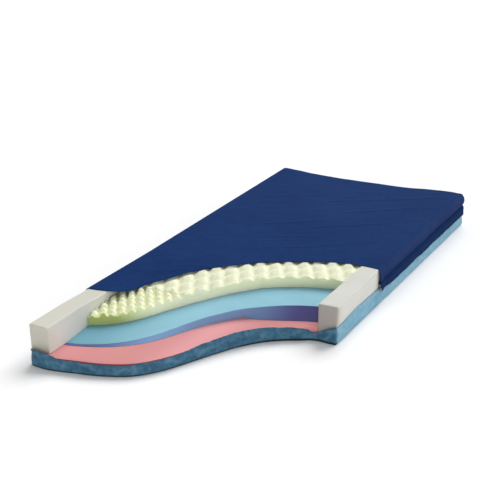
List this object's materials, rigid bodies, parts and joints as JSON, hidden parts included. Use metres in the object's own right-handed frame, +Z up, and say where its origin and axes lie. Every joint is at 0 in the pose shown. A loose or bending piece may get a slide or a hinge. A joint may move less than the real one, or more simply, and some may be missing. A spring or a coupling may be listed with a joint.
{
  "type": "pressure relief mattress",
  "caption": "Layered foam pressure relief mattress with a sloped heel section, side rails and a zipped stretch cover, cut open in S-curves at the foot end to show its layers.",
  "frame": {"origin": "underside, at the middle of the width over the flaps and of the length from the front of the cover to the head flap", "axes": "+X across to the side with the zip slider, +Y along to the head end, +Z up"},
  "size_m": [0.9292, 2.1696, 0.1519],
  "materials": {
    "pink_foam": "open-cell foam, matte",
    "blue_foam": "fine-cell foam, matte",
    "yellow_foam": "convoluted open-cell foam, matte",
    "white_foam": "firm foam, matte",
    "light_blue_fabric": "coated woven fabric, satin",
    "navy_fabric": "coated stretch knit, satin",
    "zip_tape": "woven tape",
    "zip_coil": "nylon coil",
    "zip_metal": "satin plated zinc"
  },
  "bodies": {
    "mattress": {"base_foam": "pink_foam", "middle_foam": "blue_foam", "convoluted_topper": "yellow_foam", "left_side_rail": "white_foam", "right_side_rail": "white_foam", "bottom_panel": "light_blue_fabric", "front_cover_wall": "light_blue_fabric", "left_cover_wall": "light_blue_fabric", "right_cover_wall": "light_blue_fabric", "head_cover_wall": "light_blue_fabric", "top_panel": "navy_fabric", "left_border": "navy_fabric", "right_border": "navy_fabric", "head_border": "navy_fabric", "lower_zip_tape": "zip_tape", "upper_zip_tape": "zip_tape", "lower_zip_coil": "zip_coil", "upper_zip_coil": "zip_coil", "zip_top_stops": "zip_metal", "zip_bottom_stop": "zip_metal", "right_corner_flap": "navy_fabric", "left_corner_flap": "navy_fabric"},
    "right_flap": {"right_zip_flap": "navy_fabric"},
    "left_flap": {"left_zip_flap": "navy_fabric"},
    "head_flap": {"head_zip_flap": "navy_fabric"},
    "slider": {"zip_slider": "zip_metal", "pull_tab_stud": "zip_metal"},
    "tab": {"pull_tab": "zip_metal"}
  },
  "joints": [
    {"name": "right_flap_lift", "type": "hinge", "parent": "mattress", "child": "right_flap", "pos_m": [0.4582, 0.5247, 0.095], "axis": [0, -1, 0], "range_deg": [0, 145]},
    {"name": "left_flap_lift", "type": "hinge", "parent": "mattress", "child": "left_flap", "pos_m": [-0.4582, 0.1862, 0.095], "axis": [0, 1, 0], "range_deg": [0, 145]},
    {"name": "head_flap_lift", "type": "hinge", "parent": "mattress", "child": "head_flap", "pos_m": [0, 1.0784, 0.095], "axis": [1, 0, 0], "range_deg": [0, 145]},
    {"name": "zip_slide", "type": "slide", "parent": "mattress", "child": "slider", "axis": [0, 1, 0], "range_m": [0, 1.024]},
    {"name": "tab_swing", "type": "hinge", "parent": "slider", "child": "tab", "pos_m": [0.4606, 0.0095, 0.08], "axis": [1, 0, 0], "range_deg": [-95, 95]}
  ]
}
